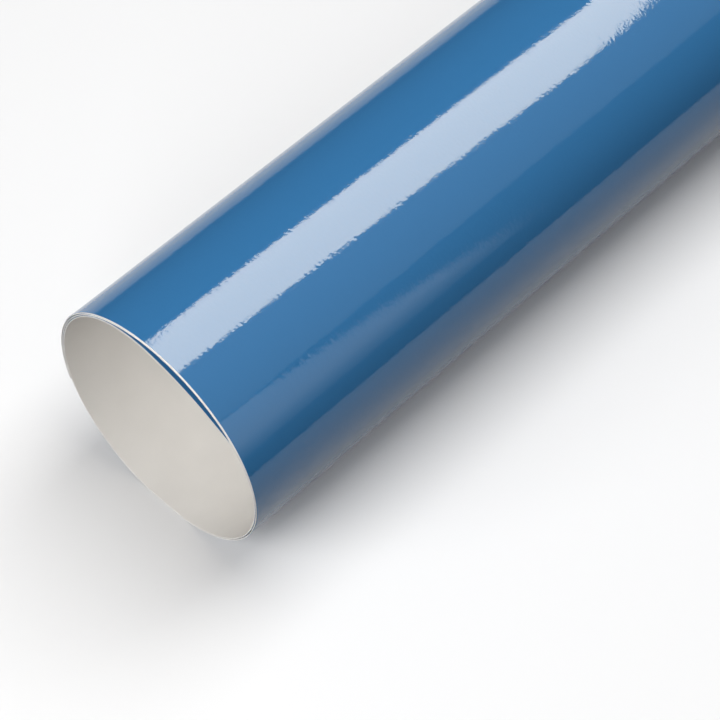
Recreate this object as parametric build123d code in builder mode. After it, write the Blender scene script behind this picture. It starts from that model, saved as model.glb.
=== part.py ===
from build123d import *
from dataclasses import dataclass
from math import ceil, cos, floor, radians, sin, sqrt
import os

# A short roll of self-adhesive sign vinyl with no core. One web is wound on itself two and a half
# times: a glossy face film, the adhesive coated on its back, and a release liner inside them.
# The roll lies along X on z = 0 with x = 0 halfway along it, and it is drawn as seen from its -X
# end: +Z is up and +Y is on the left. The web winds anticlockwise outwards in that view.
# Millimetres and degrees.

# The web
WEB_WIDTH = 305.0
FILM = 0.08
ADHESIVE = 0.03
LINER = 0.16
EDGE_SHRINK = 0.3        # the film has drawn back this far from each cut edge of the liner
WRAP_AIR = 0.3           # air between one turn and the next

# The section of the innermost turn's inside face, which sags a little and rests on a flat
REST_HALF_WIDTH = 6.0
HEEL_RADIUS = 20.0       # on each side of the rest
HEEL_TURN = 18.0
SIDE_RADIUS = 39.0
SHOULDER_RADIUS = 35.4
SHOULDER_TURN = 32.0
TOP_TURN = 32.0          # each way from the highest point

# The inner end, which springs away from the turn around it and touches it only at its edge
LIFT_END = 134.0         # where the inner end joins the round of the roll
LIFT_TIGHTER = 3.4       # how much tighter it curls than the shoulder it springs from
LIFT_TURN = 54.0
EASE_RADIUS = 80.0
EASE_TURN = 18.0

# The outer end, and the stretches in which it unrolls and its film peels
WEB_END = 918.0          # counted from level on the right of the innermost turn
TAIL_TURN = 20.0
TAIL_COUNT = 4           # before the last stretch
LAST_TURN = 40.0
STUCK_TURN = 10.0        # how far the last stretch's film stays stuck before it peels
PEEL_COUNT = 3

# Both ends are drawn in short arcs, so that chords across the thin adhesive stay inside it.
END_ARC = 5.0

LAMINATE = FILM + ADHESIVE + LINER
PITCH = LAMINATE + WRAP_AIR
LIFT_RADIUS = SHOULDER_RADIUS - LIFT_TIGHTER
LAST_START = WEB_END - LAST_TURN
TAIL_START = LAST_START - TAIL_COUNT * TAIL_TURN
PEEL_START = LAST_START + STUCK_TURN
PEEL_TURN = (WEB_END - PEEL_START) / PEEL_COUNT


def sine(angle):
    return sin(radians(angle))


def outward(angle):
    """The unit vector at this angle, anticlockwise from level on the right."""
    return Vector(cos(radians(angle)), sine(angle))


# The top's radius is the one that brings both halves of the section together on the centre line.
TOP_RADIUS = (
    REST_HALF_WIDTH
    + HEEL_RADIUS * sine(HEEL_TURN)
    + SIDE_RADIUS * (sine(TOP_TURN + SHOULDER_TURN) - sine(HEEL_TURN))
    - SHOULDER_RADIUS * (sine(TOP_TURN + SHOULDER_TURN) - sine(TOP_TURN))
) / sine(TOP_TURN)


@dataclass(frozen=True)
class Stretch:
    """A stretch of the web's inside face: an arc, or a straight run where it doesn't turn."""

    start: Vector
    normal: float        # the angle that the outward side faces at its start
    turn: float = 0.0
    radius: float = 0.0
    run: float = 0.0

    @property
    def centre(self):
        return self.start - outward(self.normal) * self.radius

    @property
    def end(self):
        if self.turn:
            return self.centre + outward(self.normal + self.turn) * self.radius
        return self.start + outward(self.normal + 90) * self.run

    def in_short_arcs(self):
        """The same bend as equal arcs no longer than the ends are drawn with."""
        count = ceil(self.turn / END_ARC)
        short = self.turn / count
        normals = [self.normal + short * number for number in range(count)]
        return [
            Stretch(self.centre + outward(normal) * self.radius, normal, short, self.radius)
            for normal in normals
        ]

    def first_point(self, depth):
        return self.start + outward(self.normal) * depth

    def last_point(self, depth):
        return self.end + outward(self.normal + self.turn) * depth

    def edge(self, depth):
        """The edge this deep in the web, measured outwards from the inside face."""
        if not self.turn:
            return Edge.make_line(self.first_point(depth), self.last_point(depth))
        middle = self.centre + outward(self.normal + self.turn / 2) * (self.radius + depth)
        return Edge.make_three_point_arc(self.first_point(depth), middle, self.last_point(depth))


def section_radius(normal):
    """The inside face's radius at this angle: each half turn adds half a pitch."""
    from_top = abs((normal + 90) % 360 - 180)
    if from_top < TOP_TURN:
        radius = TOP_RADIUS
    elif from_top < TOP_TURN + SHOULDER_TURN:
        radius = SHOULDER_RADIUS
    elif from_top < 180 - HEEL_TURN:
        radius = SIDE_RADIUS
    else:
        radius = HEEL_RADIUS
    return radius + floor(normal / 180) * PITCH / 2


def joints_between(first, last, extra):
    """Every angle from first to last where the radius changes or a piece of the web ends."""
    shoulder = TOP_TURN + SHOULDER_TURN
    places = [0, 180, 270, 270 - HEEL_TURN, 270 + HEEL_TURN]
    places += [90 - TOP_TURN, 90 + TOP_TURN, 90 - shoulder, 90 + shoulder]
    angles = {first, last}
    angles.update(angle for angle in extra if first < angle < last)
    for turn in range(floor(first / 360) - 1, floor(last / 360) + 1):
        angles.update(place + 360 * turn for place in places if first < place + 360 * turn < last)
    return sorted(angles)


def wind(first, last, start, extra):
    """Follow the section from one angle to another as a chain of tangent stretches."""
    chain = []
    here = start
    angles = joints_between(first, last, extra)
    for angle, following in zip(angles, angles[1:]):
        if (angle - 270) % 360 == 0:
            rest = Stretch(here, angle, run=2 * REST_HALF_WIDTH)
            chain.append(rest)
            here = rest.end
        turn = following - angle
        bend = Stretch(here, angle, turn, section_radius(angle + turn / 2))
        chain.append(bend)
        here = bend.end
    return chain


def between(chain, first, last):
    return [stretch for stretch in chain if first <= stretch.normal < last]


def lifted_end(chain):
    """The inner end, from its free edge to where it joins the round of the roll."""
    joined = between(chain, LIFT_END, LIFT_END + 1)[0].start
    lift_start = LIFT_END - LIFT_TURN
    lift_centre = joined - outward(LIFT_END) * LIFT_RADIUS
    lift = Stretch(lift_centre + outward(lift_start) * LIFT_RADIUS, lift_start, LIFT_TURN, LIFT_RADIUS)
    ease_start = lift_start - EASE_TURN
    ease_centre = lift.start - outward(lift_start) * EASE_RADIUS
    ease = Stretch(ease_centre + outward(ease_start) * EASE_RADIUS, ease_start, EASE_TURN, EASE_RADIUS)

    # The straight run goes on until its outer corner stands one wrap's air inside the next turn.
    shoulder_middle = 360 + 90 - TOP_TURN - SHOULDER_TURN / 2
    around = [stretch for stretch in chain if stretch.normal <= shoulder_middle][-1]
    backwards = outward(ease_start - 90)
    from_centre = ease.first_point(LAMINATE) - around.centre
    along = from_centre.dot(backwards)
    reach = around.radius - WRAP_AIR
    run = sqrt(along ** 2 - from_centre.dot(from_centre) + reach ** 2) - along
    edge = Stretch(ease.start + backwards * run, ease_start, run=run)
    return edge, ease, lift


def layer(name, stretches, inside, outside, width):
    """One layer of the web over these stretches, as a solid of this width."""
    far_end = Plane(origin=(width / 2, 0, 0), x_dir=(0, -1, 0), z_dir=(-1, 0, 0))
    edges = [stretch.edge(depth) for stretch in stretches for depth in (inside, outside)]
    edges.append(Edge.make_line(stretches[0].first_point(inside), stretches[0].first_point(outside)))
    edges.append(Edge.make_line(stretches[-1].last_point(inside), stretches[-1].last_point(outside)))
    section = far_end.from_local_coords(Face(Wire.combine(edges)[0]))
    with BuildPart() as piece:
        # Cleaning would join the short arcs into long ones again.
        extrude(to_extrude=section, amount=width, dir=(-1, 0, 0), clean=False)
    piece.part.label = name
    export_step(piece.part, f"parts/{name}.step")
    return piece


def liner(place, stretches):
    return layer(f"liner_{place}", stretches, 0, LINER, WEB_WIDTH)


def face(place, stretches):
    """The face film and the adhesive on its back, which come off the liner together."""
    coated = LINER + ADHESIVE
    width = WEB_WIDTH - 2 * EDGE_SHRINK
    adhesive = layer(f"adhesive_{place}", stretches, LINER, coated, width)
    film = layer(f"film_{place}", stretches, coated, LAMINATE, width)
    return adhesive, film


tail_joints = [TAIL_START + TAIL_TURN * number for number in range(TAIL_COUNT + 1)]
peel_joints = [PEEL_START + PEEL_TURN * number for number in range(PEEL_COUNT)]

# The web is followed from the rest of the turn that would lie inside the first one. That rest
# stands three layers and two gaps above the ground, less the layer that isn't there.
first_rest = Vector(PITCH / 2 - REST_HALF_WIDTH, 2 * PITCH + LAMINATE)
end_arcs = [TAIL_START + END_ARC * number for number in range(round((WEB_END - TAIL_START) / END_ARC))]
web = wind(-90, WEB_END, first_rest, [LIFT_END, *tail_joints, *peel_joints, *end_arcs])
inner_edge, inner_ease, inner_lift = lifted_end(web)

os.makedirs("parts", exist_ok=True)

# The wound part of the roll, which holds its shape
wound = between(web, LIFT_END, TAIL_START)
liner("wound", wound)
face("wound", wound)

# The free inner end, in three stretches that flex inwards
inner_end = {
    "inner_lift": inner_lift.in_short_arcs(),
    "inner_ease": inner_ease.in_short_arcs(),
    "inner_edge": [inner_edge],
}
for place, stretches in inner_end.items():
    liner(place, stretches)
    face(place, stretches)

# The outer end, in stretches that unroll
for number, (first, last) in enumerate(zip(tail_joints, tail_joints[1:]), start=1):
    tail = between(web, first, last)
    liner(f"tail_{number}", tail)
    face(f"tail_{number}", tail)

# The last stretch, whose film is stuck down at first and then peels off the liner
liner("tail_end", between(web, LAST_START, WEB_END))
face("tail_end", between(web, LAST_START, PEEL_START))
for number, (first, last) in enumerate(zip(peel_joints, [*peel_joints[1:], WEB_END]), start=1):
    face(f"peel_{number}", between(web, first, last))
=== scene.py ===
"""A short roll of glossy blue self-adhesive sign vinyl, wound with no core on its release liner.

The web is followed along its spiral section and made layer by layer: the paper liner inside, the
clear adhesive and the face film outside. Each layer is cut where the roll unrolls, where its film
peels and where its sprung inner end flexes, and the pieces around each joint reach to both sides of it.
"""

import logging
import math
from dataclasses import dataclass, field
from enum import Enum

import bmesh
import bpy
from mathutils import Matrix, Vector


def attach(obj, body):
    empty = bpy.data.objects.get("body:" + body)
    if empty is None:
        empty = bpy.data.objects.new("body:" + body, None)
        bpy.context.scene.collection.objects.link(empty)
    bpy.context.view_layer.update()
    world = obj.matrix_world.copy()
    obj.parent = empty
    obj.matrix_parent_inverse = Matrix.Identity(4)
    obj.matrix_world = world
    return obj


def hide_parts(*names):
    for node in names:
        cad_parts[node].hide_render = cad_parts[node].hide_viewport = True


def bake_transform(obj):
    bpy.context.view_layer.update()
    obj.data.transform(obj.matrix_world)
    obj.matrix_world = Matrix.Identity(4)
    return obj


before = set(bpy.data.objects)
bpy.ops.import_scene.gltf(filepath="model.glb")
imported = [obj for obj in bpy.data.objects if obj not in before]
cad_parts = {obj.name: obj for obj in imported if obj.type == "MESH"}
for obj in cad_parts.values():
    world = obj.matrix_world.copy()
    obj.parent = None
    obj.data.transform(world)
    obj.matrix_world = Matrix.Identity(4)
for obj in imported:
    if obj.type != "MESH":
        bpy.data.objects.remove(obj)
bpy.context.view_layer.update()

log = logging.getLogger("vinyl_roll")

MM = 0.001
ALONG = Vector((1.0, 0.0, 0.0))
WIND_AXIS = -ALONG  # the web winds anticlockwise outwards, seen from the roll's near end


def outward(angle: float) -> Vector:
    """Give the unit vector at an angle around the section.

    Args:
        angle: Degrees, anticlockwise from level on the right as seen from the near end.

    Returns:
        The unit vector, in the plane across the roll.
    """
    return Vector((0.0, -math.cos(math.radians(angle)), math.sin(math.radians(angle))))


class Layer(Enum):
    """The web's layers, each with its depths from the inside face and its edge margin in mm."""

    LINER = ("liner", "release_liner", 0.0, 0.1595, 0.0)
    ADHESIVE = ("adhesive", "adhesive", 0.1605, 0.1895, 0.3)
    FILM = ("film", "face_film", 0.1905, 0.27, 0.3)

    def __init__(self, prefix: str, slot: str, inside: float, outside: float, margin: float) -> None:
        """Keep what each layer is called and where it lies in the web.

        Args:
            prefix: What its pieces' names start with.
            slot: The material slot of its pieces.
            inside: The depth of its inner face in mm.
            outside: The depth of its outer face in mm.
            margin: How far it is drawn back from each end of the roll in mm.
        """
        self.prefix = prefix
        self.slot = slot
        self.inside = inside * MM
        self.outside = outside * MM
        self.margin = margin * MM


@dataclass(frozen=True)
class Stretch:
    """A stretch of the web's inside face: an arc, or a straight run where it doesn't turn."""

    start: Vector
    normal: float
    turn: float = 0.0
    radius: float = 0.0
    run: float = 0.0

    @property
    def centre(self) -> Vector:
        """Give the point that the arc turns about."""
        return self.start - outward(self.normal) * self.radius

    @property
    def end(self) -> Vector:
        """Find the inside face's last point.

        Returns:
            The point.
        """
        if self.turn:
            return self.centre + outward(self.normal + self.turn) * self.radius
        return self.start + outward(self.normal + 90) * self.run

    def part(self, first: float, last: float) -> "Stretch":
        """Cut a shorter stretch out of this one.

        Args:
            first: Where the shorter stretch starts, as a share of this one.
            last: Where it ends, as a share of this one.

        Returns:
            The shorter stretch.
        """
        if self.turn:
            normal = self.normal + self.turn * first
            start = self.centre + outward(normal) * self.radius
            return Stretch(start, normal, self.turn * (last - first), self.radius)
        start = self.start + outward(self.normal + 90) * (self.run * first)
        return Stretch(start, self.normal, run=self.run * (last - first))


@dataclass(frozen=True)
class Section:
    """The roll's section: sizes in metres and degrees, on the inside face of the innermost turn."""

    pitch: float = 0.57 * MM
    web: float = 0.27 * MM
    air: float = 0.3 * MM
    rest_half: float = 6.0 * MM
    heel_radius: float = 20.0 * MM
    heel_turn: float = 18.0
    side_radius: float = 39.0 * MM
    shoulder_radius: float = 35.4 * MM
    shoulder_turn: float = 32.0
    top_turn: float = 32.0
    lift_end: float = 134.0
    lift_radius: float = 32.0 * MM
    lift_turn: float = 54.0
    ease_radius: float = 80.0 * MM
    ease_turn: float = 18.0
    web_end: float = 918.0
    tail_turn: float = 20.0
    tail_count: int = 4
    last_turn: float = 40.0
    stuck_turn: float = 10.0
    peel_turn: float = 10.0
    peel_count: int = 3

    @property
    def last_start(self) -> float:
        """Give the angle where the last stretch of the tail starts."""
        return self.web_end - self.last_turn

    @property
    def tail_joints(self) -> list[float]:
        """Give the angles where the tail unrolls, from the wound turns outwards."""
        first = self.last_start - self.tail_count * self.tail_turn
        return [first + self.tail_turn * number for number in range(self.tail_count + 1)]

    @property
    def peel_joints(self) -> list[float]:
        """Give the angles where the film peels off the last stretch."""
        first = self.last_start + self.stuck_turn
        return [first + self.peel_turn * number for number in range(self.peel_count)]

    @property
    def top_radius(self) -> float:
        """Work out the radius over the top that closes the section on its centre line.

        Returns:
            The radius in metres.
        """
        both = math.radians(self.top_turn + self.shoulder_turn)
        top, heel = math.radians(self.top_turn), math.radians(self.heel_turn)
        across = self.rest_half + self.heel_radius * math.sin(heel)
        across += self.side_radius * (math.sin(both) - math.sin(heel))
        across -= self.shoulder_radius * (math.sin(both) - math.sin(top))
        return across / math.sin(top)

    def radius_at(self, normal: float) -> float:
        """Give the inside face's radius.

        Args:
            normal: The angle that the web faces, counted on through every turn.

        Returns:
            The radius in metres, half a pitch more for each half turn.
        """
        from_top = abs((normal + 90) % 360 - 180)
        if from_top < self.top_turn:
            radius = self.top_radius
        elif from_top < self.top_turn + self.shoulder_turn:
            radius = self.shoulder_radius
        elif from_top < 180 - self.heel_turn:
            radius = self.side_radius
        else:
            radius = self.heel_radius
        return radius + math.floor(normal / 180) * self.pitch / 2

    def changes(self, first: float, last: float) -> list[float]:
        """List the angles where the radius changes.

        Args:
            first: The angle to start from.
            last: The angle to end at.

        Returns:
            The angles in order, with both ends.
        """
        shoulder = self.top_turn + self.shoulder_turn
        places = [0, 180, 270, 270 - self.heel_turn, 270 + self.heel_turn]
        places += [90 - self.top_turn, 90 + self.top_turn, 90 - shoulder, 90 + shoulder]
        turns = range(math.floor(first / 360) - 1, math.floor(last / 360) + 1)
        angles = {place + 360.0 * turn for place in places for turn in turns}
        return sorted({first, last} | {angle for angle in angles if first < angle < last})

    def wound(self) -> list[Stretch]:
        """Follow the web from the rest inside the first turn to its outer end.

        Returns:
            The chain of tangent stretches.
        """
        chain: list[Stretch] = []
        here = Vector((0.0, self.rest_half - self.pitch / 2, 2 * self.pitch + self.web))
        angles = self.changes(-90.0, self.web_end)
        for angle, following in zip(angles, angles[1:]):
            if (angle - 270) % 360 == 0:
                chain.append(Stretch(here, angle, run=2 * self.rest_half))
                here = chain[-1].end
            turn = following - angle
            chain.append(Stretch(here, angle, turn, self.radius_at(angle + turn / 2)))
            here = chain[-1].end
        return chain

    def sprung_end(self, chain: list[Stretch]) -> list[Stretch]:
        """Follow the sprung inner end out to where it joins the round of the roll.

        Args:
            chain: The wound web.

        Returns:
            The straight edge, the eased stretch and the lifted stretch.
        """
        joined = pick(chain, self.lift_end, self.lift_end + 1)[0].start
        lift_start = self.lift_end - self.lift_turn
        centre = joined - outward(self.lift_end) * self.lift_radius
        lift_first = centre + outward(lift_start) * self.lift_radius
        lift = Stretch(lift_first, lift_start, self.lift_turn, self.lift_radius)
        ease_start = lift_start - self.ease_turn
        centre = lift_first - outward(lift_start) * self.ease_radius
        ease_first = centre + outward(ease_start) * self.ease_radius
        ease = Stretch(ease_first, ease_start, self.ease_turn, self.ease_radius)

        # The straight edge stops one wrap's air inside the shoulder of the next turn.
        middle = 360 + 90 - self.top_turn - self.shoulder_turn / 2
        around = [stretch for stretch in chain if stretch.normal <= middle][-1]
        backwards = outward(ease_start - 90)
        across = ease_first + outward(ease_start) * self.web - around.centre
        along = across.dot(backwards)
        reach = around.radius - self.air
        run = math.sqrt(along**2 - across.dot(across) + reach**2) - along
        edge = Stretch(ease_first + backwards * run, ease_start, run=run)
        return [edge, ease, lift]


def pick(chain: list[Stretch], first: float, last: float) -> list[Stretch]:
    """Cut the stretches between two angles out of a chain.

    Args:
        chain: The chain of stretches.
        first: The angle to start from.
        last: The angle to end at.

    Returns:
        The stretches, the first and last of them cut to the angles.
    """
    found = []
    for stretch in chain:
        if not stretch.turn:
            if first <= stretch.normal < last:
                found.append(stretch)
            continue
        low = max(0.0, (first - stretch.normal) / stretch.turn)
        high = min(1.0, (last - stretch.normal) / stretch.turn)
        if high - low > 1e-6:
            found.append(stretch.part(low, high))
    return found


class Socket:
    """A shader socket that takes part in plain arithmetic."""

    def __init__(self, tree: bpy.types.NodeTree, socket: bpy.types.NodeSocket) -> None:
        """Wrap a socket of this node tree."""
        self.tree = tree
        self.socket = socket

    def _math(self, operation: str, first: "Socket | float", second: "Socket | float") -> "Socket":
        """Add a Math node.

        Args:
            operation: The node's operation.
            first: The first value.
            second: The second value.

        Returns:
            The result.
        """
        node = self.tree.nodes.new("ShaderNodeMath")
        node.operation = operation
        for place, value in enumerate((first, second)):
            if isinstance(value, Socket):
                self.tree.links.new(value.socket, node.inputs[place])
            else:
                node.inputs[place].default_value = value
        return Socket(self.tree, node.outputs[0])

    def __add__(self, other: "Socket | float") -> "Socket":
        """Add."""
        return self._math("ADD", self, other)

    def __radd__(self, other: float) -> "Socket":
        """Add, the other way round."""
        return self._math("ADD", other, self)

    def __sub__(self, other: "Socket | float") -> "Socket":
        """Subtract."""
        return self._math("SUBTRACT", self, other)

    def __rsub__(self, other: float) -> "Socket":
        """Subtract, the other way round."""
        return self._math("SUBTRACT", other, self)

    def __mul__(self, other: "Socket | float") -> "Socket":
        """Multiply."""
        return self._math("MULTIPLY", self, other)

    def __rmul__(self, other: float) -> "Socket":
        """Multiply, the other way round."""
        return self._math("MULTIPLY", other, self)


class Finish:
    """A material under construction, with its shader and its nodes."""

    FIRST_COLOUR = 6  # the places of a Mix node's colour sockets, which share names with others
    SECOND_COLOUR = 7
    MIXED_COLOUR = 2

    def __init__(self, name: str) -> None:
        """Start an empty material with a Principled shader.

        Args:
            name: What the material is called.
        """
        self.material = bpy.data.materials.new(name)
        self.material.use_nodes = True
        self.tree = self.material.node_tree
        self.shader = self.tree.nodes["Principled BSDF"]

    def node(
        self, kind: str, settings: dict[str, object] | None = None, **inputs: object
    ) -> bpy.types.Node:
        """Add a node.

        Args:
            kind: The node's type.
            settings: Its settings, set before its sockets.
            **inputs: The values or links of its sockets, by their names with _ for a space.

        Returns:
            The node.
        """
        made = self.tree.nodes.new(kind)
        for name, value in (settings or {}).items():
            setattr(made, name, value)
        for name, value in inputs.items():
            self.feed(made.inputs[name.replace("_", " ")], value)
        return made

    def feed(self, socket: bpy.types.NodeSocket, value: object) -> None:
        """Link a socket, or set its value.

        Args:
            socket: The socket to feed.
            value: Another socket to link to it, or the value to set.
        """
        if isinstance(value, Socket):
            self.tree.links.new(value.socket, socket)
        elif isinstance(value, bpy.types.NodeSocket):
            self.tree.links.new(value, socket)
        else:
            socket.default_value = value

    def noise(self, scale: tuple[float, float, float], detail: float, shift: float = 0.0) -> Socket:
        """Add a noise pattern that follows the object.

        Args:
            scale: How many features a metre holds along X, Y and Z.
            detail: How many finer octaves it has.
            shift: How far the pattern is moved along, so that two of them differ.

        Returns:
            The noise value, about 0 to 1.
        """
        place = self.node("ShaderNodeTexCoord").outputs["Object"]
        mapped = self.node("ShaderNodeMapping", Vector=place, Location=(shift,) * 3, Scale=scale)
        made = self.node(
            "ShaderNodeTexNoise", Vector=mapped.outputs[0], Scale=1.0, Detail=detail, Roughness=0.5
        )
        return Socket(self.tree, made.outputs["Fac"])

    def bump(self, height: Socket, depth: float) -> None:
        """Raise the surface by a pattern.

        Args:
            height: The pattern.
            depth: How many metres a unit of the pattern raises it.
        """
        made = self.node("ShaderNodeBump", Height=height.socket, Strength=1.0, Distance=depth)
        self.feed(self.shader.inputs["Normal"], made.outputs["Normal"])

    def between(self, amount: Socket, low: tuple[float, ...], high: tuple[float, ...]) -> Socket:
        """Mix two colours.

        Args:
            amount: How much of the second colour shows, 0 to 1.
            low: The first colour.
            high: The second colour.

        Returns:
            The mixed colour.
        """
        made = self.node("ShaderNodeMix", {"data_type": "RGBA"})
        self.feed(made.inputs["Factor"], amount)
        self.feed(made.inputs[self.FIRST_COLOUR], (*low, 1.0))
        self.feed(made.inputs[self.SECOND_COLOUR], (*high, 1.0))
        return Socket(self.tree, made.outputs[self.MIXED_COLOUR])

    def fade(self, distance: object, start: float, end: float) -> Socket:
        """Fade smoothly from 0 to 1 as a distance grows.

        Args:
            distance: The link that carries the distance.
            start: Where the fade starts.
            end: Where it ends.

        Returns:
            How far the fade has come.
        """
        made = self.node(
            "ShaderNodeMapRange",
            {"interpolation_type": "SMOOTHSTEP"},
            Value=distance,
            From_Min=start,
            From_Max=end,
        )
        return Socket(self.tree, made.outputs[0])


@dataclass(frozen=True)
class GlossFilm:
    """Glossy calendered vinyl, with a fine ripple that runs round the roll."""

    colour: tuple[float, float, float] = (0.033, 0.15, 0.33)
    roughness: float = 0.05
    specular: float = 0.36
    ripple: float = 0.000028  # metres
    ripple_scale: tuple[float, float, float] = (1100.0, 700.0, 700.0)
    swell: float = 0.00006
    swell_scale: tuple[float, float, float] = (60.0, 25.0, 25.0)

    def make(self) -> bpy.types.Material:
        """Make the finish.

        Returns:
            The material.
        """
        finish = Finish("face_film")
        finish.feed(finish.shader.inputs["Base Color"], (*self.colour, 1.0))
        finish.feed(finish.shader.inputs["Roughness"], self.roughness)
        finish.feed(finish.shader.inputs["IOR"], 1.5)
        finish.feed(finish.shader.inputs["Specular IOR Level"], self.specular)
        fine = finish.noise(self.ripple_scale, 1.0)
        broad = finish.noise(self.swell_scale, 0.0, shift=7.0)
        finish.bump(fine + broad * (self.swell / self.ripple), self.ripple)
        return finish.material


@dataclass(frozen=True)
class LinerPaper:
    """The uncoated back of the release paper, off-white with a faint cloudiness."""

    colour: tuple[float, float, float] = (0.85, 0.825, 0.785)
    cloud: tuple[float, float, float] = (0.79, 0.765, 0.725)
    roughness: float = 0.62
    specular: float = 0.35
    cloud_scale: float = 90.0

    def make(self) -> bpy.types.Material:
        """Make the finish.

        Returns:
            The material.
        """
        finish = Finish("release_liner")
        cloud = finish.noise((self.cloud_scale,) * 3, 3.0)
        finish.feed(finish.shader.inputs["Base Color"], finish.between(cloud, self.colour, self.cloud))
        finish.feed(finish.shader.inputs["Roughness"], self.roughness)
        finish.feed(finish.shader.inputs["Specular IOR Level"], self.specular)
        return finish.material


@dataclass(frozen=True)
class ClearAdhesive:
    """The clear, tacky coat on the back of the film."""

    colour: tuple[float, float, float] = (0.78, 0.80, 0.80)
    alpha: float = 0.35
    roughness: float = 0.28

    def make(self) -> bpy.types.Material:
        """Make the finish.

        Returns:
            The material.
        """
        finish = Finish("adhesive")
        finish.feed(finish.shader.inputs["Base Color"], (*self.colour, 1.0))
        finish.feed(finish.shader.inputs["Alpha"], self.alpha)
        finish.feed(finish.shader.inputs["Roughness"], self.roughness)
        return finish.material


@dataclass(frozen=True)
class Cut:
    """A stretch of one layer that is its own piece: what it rides on and what it stands for."""

    name: str
    stretches: list[Stretch]
    bodies: tuple[str, ...]
    nodes: tuple[str, ...] = ()


@dataclass
class Web:
    """The whole web, made layer by layer and cut into pieces around the joints where the roll moves."""

    length: float = 0.305
    step: float = 2.0  # degrees from one facet to the next
    columns: int = 40
    lift_reach: float = 18.0  # how far the bends reach from their joints, in degrees
    tail_reach: float = 10.0
    peel_reach: float = 5.0
    flush: float = 0.9  # a facet that leans less than this towards the web's way is a cut edge
    section: Section = field(default_factory=Section)
    made: list[bpy.types.Object] = field(default_factory=list)

    def sweep(self, layer: Layer, stretches: list[Stretch], name: str) -> bpy.types.Object:
        """Wind one layer along these stretches as a closed solid.

        Args:
            layer: Which layer.
            stretches: The stretches it follows.
            name: What the piece is called.

        Returns:
            The piece, smooth along the web and sharp at its cut edges.
        """
        shell = bmesh.new()
        facing = shell.verts.layers.float_vector.new("facing")
        first = stretches[0]
        out = outward(first.normal)
        width = self.length - 2 * layer.margin
        middle = first.start + out * ((layer.inside + layer.outside) / 2)
        place = Matrix.Translation(middle) @ Matrix((ALONG, out, ALONG.cross(out))).transposed().to_4x4()
        place = place @ Matrix.Diagonal((width / 2, (layer.outside - layer.inside) / 2, 1.0, 1.0))
        bmesh.ops.create_grid(shell, x_segments=self.columns, y_segments=1, size=1.0, matrix=place)
        placed = set(shell.verts)
        for corner in placed:
            corner[facing] = out
        last = list(shell.verts) + list(shell.edges) + list(shell.faces)
        for stretch in stretches:
            if stretch.turn:
                steps = max(1, math.ceil(abs(stretch.turn) / self.step))
                swept = bmesh.ops.spin(
                    shell,
                    geom=last,
                    cent=stretch.centre,
                    axis=WIND_AXIS,
                    angle=math.radians(stretch.turn),
                    steps=steps,
                    use_merge=False,
                    use_normal_flip=False,
                    use_duplicate=False,
                )
                last = swept["geom_last"]
            else:
                swept = bmesh.ops.extrude_face_region(shell, geom=last)
                last = swept["geom"]
                moved = [item for item in last if isinstance(item, bmesh.types.BMVert)]
                bmesh.ops.translate(shell, verts=moved, vec=stretch.end - stretch.start)
            added = set(shell.verts) - placed
            for corner in added:
                away = corner.co - stretch.centre
                across = Vector((0.0, away.y, away.z)).normalized()
                corner[facing] = across if stretch.turn else outward(stretch.normal)
            placed |= added
        bmesh.ops.recalc_face_normals(shell, faces=shell.faces)
        mesh = bpy.data.meshes.new(name)
        shell.to_mesh(mesh)
        shell.free()
        self.face_smoothly(mesh)
        piece = bpy.data.objects.new(name, mesh)
        bpy.context.scene.collection.objects.link(piece)
        return piece

    @staticmethod
    def face_smoothly(mesh: bpy.types.Mesh) -> None:
        """Give every corner the web's own normal, so that two pieces meet without a seam.

        Args:
            mesh: The mesh, whose corners hold the way the web faces there.
        """
        facing = [Vector(item.vector) for item in mesh.attributes["facing"].data]
        normals: list[Vector] = [Vector()] * len(mesh.loops)
        for face in mesh.polygons:
            for place in face.loop_indices:
                web_normal = facing[mesh.loops[place].vertex_index]
                lean = face.normal.dot(web_normal)
                if abs(lean) > Web.flush:
                    normals[place] = web_normal if lean > 0 else -web_normal
                else:
                    normals[place] = face.normal.copy()
        mesh.attributes.remove(mesh.attributes["facing"])
        mesh.shade_smooth()
        mesh.normals_split_custom_set([tuple(normal) for normal in normals])

    def cuts(self, layer: Layer) -> list[Cut]:
        """List a layer's pieces from the sprung inner edge to the outer end.

        Args:
            layer: Which layer.

        Returns:
            The cuts in order.
        """
        chain = self.section.wound()
        return self.inner_cuts(layer, chain) + self.outer_cuts(layer, chain)

    def inner_cuts(self, layer: Layer, chain: list[Stretch]) -> list[Cut]:
        """List the sprung inner end's pieces and the wound turns.

        Args:
            layer: Which layer.
            chain: The wound web.

        Returns:
            The cuts in order, each bend running from the middle of one stretch to the next.
        """
        section = self.section
        edge, ease, lift = section.sprung_end(chain)
        joined = section.lift_end
        wound_from = joined + self.lift_reach
        wound_to = section.tail_joints[0] - self.tail_reach
        node = layer.prefix
        return [
            Cut("inner_tip", [edge.part(0, 0.5)], ("inner_edge",), (f"{node}_inner_edge",)),
            Cut(
                "inner_edge_bend",
                [edge.part(0.5, 1), ease.part(0, 0.5)],
                ("inner_edge", "inner_ease"),
                (f"{node}_inner_ease",),
            ),
            Cut(
                "inner_ease_bend",
                [ease.part(0.5, 1), lift.part(0, 0.5)],
                ("inner_ease", "inner_lift"),
                (f"{node}_inner_lift",),
            ),
            Cut(
                "inner_lift_bend",
                [lift.part(0.5, 1), *pick(chain, joined, wound_from)],
                ("inner_lift", "wound_roll"),
            ),
            Cut("wound_turns", pick(chain, wound_from, wound_to), ("wound_roll",), (f"{node}_wound",)),
        ]

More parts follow.
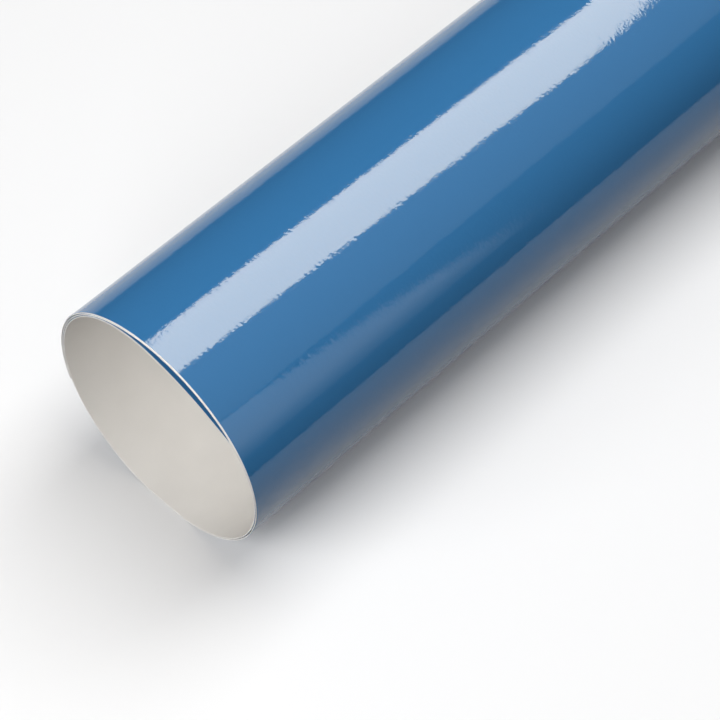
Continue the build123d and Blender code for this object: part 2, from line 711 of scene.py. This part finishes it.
    def outer_cuts(self, layer: Layer, chain: list[Stretch]) -> list[Cut]:
        """List the pieces of the tail, and of the film that peels off it.

        Args:
            layer: Which layer.
            chain: The wound web.

        Returns:
            The cuts in order, each bend reaching to both sides of its joint.
        """
        section = self.section
        node = layer.prefix
        tail = [f"tail_{number}" for number in range(1, section.tail_count + 1)] + ["tail_end"]
        peel = [f"peel_{number}" for number in range(1, section.peel_count + 1)]
        found = []
        for number, (angle, body) in enumerate(zip(section.tail_joints, tail), start=1):
            before = tail[number - 2] if number > 1 else "wound_roll"
            reach = self.peel_reach if body == "tail_end" else self.tail_reach
            run = pick(chain, angle - self.tail_reach, angle + reach)
            found.append(Cut(f"tail_bend_{number}", run, (before, body), (f"{node}_{body}",)))
        stuck_to = section.last_start + self.peel_reach
        if layer is Layer.LINER:
            return found + [Cut("tail_flat", pick(chain, stuck_to, section.web_end), ("tail_end",))]
        for number, (angle, body) in enumerate(zip(section.peel_joints, peel), start=1):
            before = peel[number - 2] if number > 1 else "tail_end"
            run = pick(chain, angle - self.peel_reach, angle + self.peel_reach)
            found.append(Cut(f"peel_bend_{number}", run, (before, body), (f"{node}_{body}",)))
        edge_from = section.peel_joints[-1] + self.peel_reach
        return found + [Cut("peel_edge", pick(chain, edge_from, section.web_end), (peel[-1],))]

    def build(self, layer: Layer) -> list[bpy.types.Object]:
        """Build every piece of a layer and tie each piece that rides on one body to that body.

        Args:
            layer: Which layer.

        Returns:
            The layer's pieces.
        """
        pieces = []
        for cut in self.cuts(layer):
            piece = self.sweep(layer, cut.stretches, f"{layer.prefix}_{cut.name}")
            if len(cut.bodies) == 1:
                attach(piece, cut.bodies[0])
            else:
                last = cut.stretches[-1]
                start = cut.stretches[0].start + outward(cut.stretches[0].normal) * layer.outside
                end = last.end + outward(last.normal + last.turn) * layer.outside
                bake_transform(piece)
            if cut.nodes:
                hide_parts(*cut.nodes)
            pieces.append(piece)
        self.made += pieces
        return pieces

    @staticmethod
    def dress(pieces: list[bpy.types.Object], material: bpy.types.Material) -> None:
        """Give the pieces their finish.

        Args:
            pieces: The pieces.
            material: The finish, in place of any they had.
        """
        for piece in pieces:
            piece.data.materials.clear()
            piece.data.materials.append(material)


@dataclass(frozen=True)
class Lamp:
    """A soft rectangular light that lights the roll and the floor but isn't mirrored in them."""

    name: str
    place: tuple[float, float, float]
    size: tuple[float, float]
    aim: tuple[float, float, float]
    radiance: float

    def build(self) -> bpy.types.Object:
        """Build the light.

        Returns:
            The light.
        """
        data = bpy.data.lights.new(self.name, "AREA")
        data.shape = "RECTANGLE"
        data.size, data.size_y = self.size
        data.energy = self.radiance * math.pi * self.size[0] * self.size[1]
        lamp = bpy.data.objects.new(self.name, data)
        lamp.location = self.place
        lamp.rotation_mode = "QUATERNION"
        towards = Vector(self.aim) - Vector(self.place)
        lamp.rotation_quaternion = towards.to_track_quat("-Z", "Y")
        lamp.visible_glossy = False
        lamp.visible_camera = False
        bpy.context.scene.collection.objects.link(lamp)
        return lamp


@dataclass(frozen=True)
class Card:
    """A bright panel that the glossy film mirrors, and that lights nothing else."""

    name: str
    corners: tuple[tuple[float, float, float], ...]
    radiance: float
    low_share: float = 1.0  # how bright its lowest edge is, against its highest
    full_from: float = 1.0  # the share of its height where it reaches full brightness
    colour: tuple[float, float, float] = (1.0, 1.0, 1.0)

    def build(self) -> bpy.types.Object:
        """Build the panel.

        Returns:
            The panel.
        """
        shell = bmesh.new()
        bmesh.ops.contextual_create(shell, geom=[shell.verts.new(corner) for corner in self.corners])
        mesh = bpy.data.meshes.new(self.name)
        shell.to_mesh(mesh)
        shell.free()
        card = bpy.data.objects.new(self.name, mesh)
        bpy.context.scene.collection.objects.link(card)
        finish = Finish(self.name)
        finish.feed(finish.shader.inputs["Base Color"], (0.0, 0.0, 0.0, 1.0))
        finish.feed(finish.shader.inputs["Emission Color"], self.glow(finish))
        finish.feed(finish.shader.inputs["Emission Strength"], self.radiance)
        mesh.materials.append(finish.material)
        card.visible_camera = False
        card.visible_diffuse = False
        card.visible_shadow = False
        card.visible_transmission = False
        return card

    def glow(self, finish: Finish) -> Socket | tuple[float, ...]:
        """Work out the panel's glow.

        Args:
            finish: The panel's material.

        Returns:
            One colour, or one that fades down to the lowest edge.
        """
        heights = [corner[2] for corner in self.corners]
        if self.low_share == 1.0:
            return (*self.colour, 1.0)
        place = finish.node("ShaderNodeTexCoord").outputs["Object"]
        height = finish.node("ShaderNodeSeparateXYZ", Vector=place).outputs["Z"]
        low, high = min(heights), max(heights)
        share = finish.fade(height, low, low + (high - low) * self.full_from)
        faint = tuple(part * self.low_share for part in self.colour)
        return finish.between(share, faint, self.colour)


@dataclass
class Studio:
    """The pale floor, the soft lights round it and the camera."""

    floor_far: float = 4.0
    mirrored_from: float = -0.16  # the film mirrors only the floor between these
    mirrored_to: float = 0.8
    glow_from: float = 0.6  # the lamps' light fades over the floor, and a glow of its own fades in
    glow_to: float = 1.5
    far_glow: float = 0.76
    floor_colour: tuple[float, float, float] = (0.8, 0.8, 0.8)
    floor_roughness: float = 0.85
    floor_specular: float = 0.1
    near_end: float = -0.1525
    room_start: float = -1.5  # the mirrored wall, beam and ceiling run between these
    room_end: float = 1.6
    wall_place: float = -0.8
    wall_end: float = 0.41  # along the floor; its end leans in towards the roll's near end
    wall_top_end: float = 0.263
    wall_top: float = 0.635
    beam_foot: float = 0.66
    beam_top: float = 1.06
    ceiling_from: float = -0.42
    ceiling_to: float = 0.12
    softbox_height: float = 1.04
    softbox_turn: float = -21.0
    softbox_corners: tuple[tuple[float, float], ...] = (
        (0.2, 0.12),
        (0.86, 0.07),
        (0.86, 0.74),
        (0.2, 0.8),
    )
    ambient: float = 0.08
    backdrop_glow: float = 0.87  # how bright the room looks past the floor's edge
    mirrored_ambient: float = 0.04
    camera_place: tuple[float, float, float] = (-0.4189, -0.3387, 0.6531)
    camera_right: tuple[float, float, float] = (0.6953, -0.7187, 0.0)
    camera_up: tuple[float, float, float] = (0.5791, 0.5603, 0.5922)
    lens: float = 130.55

    def build(self) -> None:
        """Build the floor, the lights and the camera."""
        self.build_floor()
        self.build_world()
        lamps = (
            Lamp("key_lamp", place=(0.4, 0.0, 1.05), size=(0.8, 1.1), aim=(0.1, 0.0, 0.0), radiance=3.9),
            Lamp("end_fill", place=(-1.3, -0.1, 0.7), size=(1.7, 1.0), aim=(-0.1, 0.0, 0.03), radiance=5.1),
        )
        for lamp in lamps:
            lamp.build()
        for card in self.cards():
            card.build()
        self.build_camera()

    def cards(self) -> list[Card]:
        """List the panels that the film mirrors.

        Returns:
            The softbox overhead, the wall in front of the roll, the beam over it and the ceiling.
        """
        turned = math.radians(self.softbox_turn)
        long = Vector((math.cos(turned), math.sin(turned), 0.0))
        across = Vector((-math.sin(turned), math.cos(turned), 0.0))
        corner = Vector((self.near_end, 0.0, self.softbox_height))
        softbox = tuple(tuple(corner + long * u + across * v) for u, v in self.softbox_corners)
        wall = (
            (self.room_start, self.wall_place, 0.0),
            (self.wall_end, self.wall_place, 0.0),
            (self.wall_top_end, self.wall_place, self.wall_top),
            (self.room_start, self.wall_place, self.wall_top),
        )
        beam_foot = (self.wall_place, self.beam_foot)
        beam_top = (self.ceiling_from, self.beam_top)
        ceiling_edge = (self.ceiling_to, self.beam_top)
        return [
            Card("mirrored_softbox", softbox, radiance=13.6, colour=(1.0, 0.93, 0.78)),
            Card("mirrored_wall", wall, radiance=1.6, low_share=0.25, full_from=0.4),
            Card("mirrored_beam", self.along_room(beam_foot, beam_top), radiance=0.65),
            Card("mirrored_ceiling", self.along_room(beam_top, ceiling_edge), radiance=0.65),
        ]

    def along_room(
        self, first: tuple[float, float], second: tuple[float, float]
    ) -> tuple[tuple[float, float, float], ...]:
        """Find the corners of a panel that runs the length of the room.

        Args:
            first: Where one long edge lies, in Y and Z.
            second: Where the other long edge lies.

        Returns:
            The four corners in order.
        """
        start, end = self.room_start, self.room_end
        return ((start, *first), (end, *first), (end, *second), (start, *second))

    def build_floor(self) -> None:
        """Build the floor in three strips, of which only the middle one is mirrored in the film."""
        finish = Finish("studio_floor")
        finish.feed(finish.shader.inputs["Base Color"], (*self.floor_colour, 1.0))
        finish.feed(finish.shader.inputs["Roughness"], self.floor_roughness)
        finish.feed(finish.shader.inputs["Specular IOR Level"], self.floor_specular)
        place = finish.node("ShaderNodeTexCoord").outputs["Object"]
        away = finish.node("ShaderNodeVectorMath", {"operation": "LENGTH"}, Vector=place)
        share = finish.fade(away.outputs["Value"], self.glow_from, self.glow_to)
        glow = finish.between(share, (0.0,) * 3, (self.far_glow,) * 3)
        finish.feed(finish.shader.inputs["Emission Color"], glow)
        finish.feed(finish.shader.inputs["Emission Strength"], 1.0)
        strips = {
            "studio_floor_front": (-self.floor_far, self.mirrored_from),
            "studio_floor": (self.mirrored_from, self.mirrored_to),
            "studio_floor_back": (self.mirrored_to, self.floor_far),
        }
        for name, (low, high) in strips.items():
            shell = bmesh.new()
            place = Matrix.Translation((0.0, (low + high) / 2, 0.0))
            place = place @ Matrix.Diagonal((self.floor_far, (high - low) / 2, 1.0, 1.0))
            bmesh.ops.create_grid(shell, x_segments=1, y_segments=1, size=1.0, matrix=place)
            mesh = bpy.data.meshes.new(name)
            shell.to_mesh(mesh)
            shell.free()
            floor = bpy.data.objects.new(name, mesh)
            bpy.context.scene.collection.objects.link(floor)
            mesh.materials.append(finish.material)
            floor.visible_glossy = low == self.mirrored_from
            floor.visible_diffuse = False

    def build_world(self) -> None:
        """Light the room evenly, and leave it dark where the film mirrors it."""
        world = bpy.data.worlds.new("studio")
        world.use_nodes = True
        tree = world.node_tree
        backdrop = tree.nodes["Background"]
        backdrop.inputs["Color"].default_value = (1.0, 0.97, 1.0, 1.0)
        path = tree.nodes.new("ShaderNodeLightPath")
        seen = Socket(tree, path.outputs["Is Camera Ray"]) * (self.backdrop_glow - self.ambient)
        mirrored = Socket(tree, path.outputs["Is Glossy Ray"]) * (self.ambient - self.mirrored_ambient)
        tree.links.new((seen + self.ambient - mirrored).socket, backdrop.inputs["Strength"])
        bpy.context.scene.world = world

    def build_camera(self) -> None:
        """Stand the camera over the near end, looking along the roll."""
        data = bpy.data.cameras.new("camera")
        data.lens = self.lens
        data.sensor_width = 36.0
        data.clip_start, data.clip_end = 0.01, 50.0
        camera = bpy.data.objects.new("camera", data)
        right, up = Vector(self.camera_right).normalized(), Vector(self.camera_up).normalized()
        turned = Matrix((right, up, right.cross(up))).transposed().to_4x4()
        camera.matrix_world = Matrix.Translation(Vector(self.camera_place)) @ turned
        bpy.context.scene.collection.objects.link(camera)
        bpy.context.scene.camera = camera
        bpy.context.scene.view_settings.view_transform = "Standard"


def main() -> None:
    """Build the roll and the studio, and report each piece."""
    logging.basicConfig(level=logging.INFO, format="%(name)s: %(message)s")
    web = Web()
    finishes = {
        Layer.LINER: LinerPaper().make(),
        Layer.ADHESIVE: ClearAdhesive().make(),
        Layer.FILM: GlossFilm().make(),
    }
    for layer in Layer:
        pieces = web.build(layer)
        web.dress(pieces, finishes[layer])
        log.info("%s: %d pieces", layer.prefix, len(pieces))
    Studio().build()
    for piece in web.made:
        log.info("%s: %d faces", piece.name, len(piece.data.polygons))


if __name__ == "__main__":
    main()
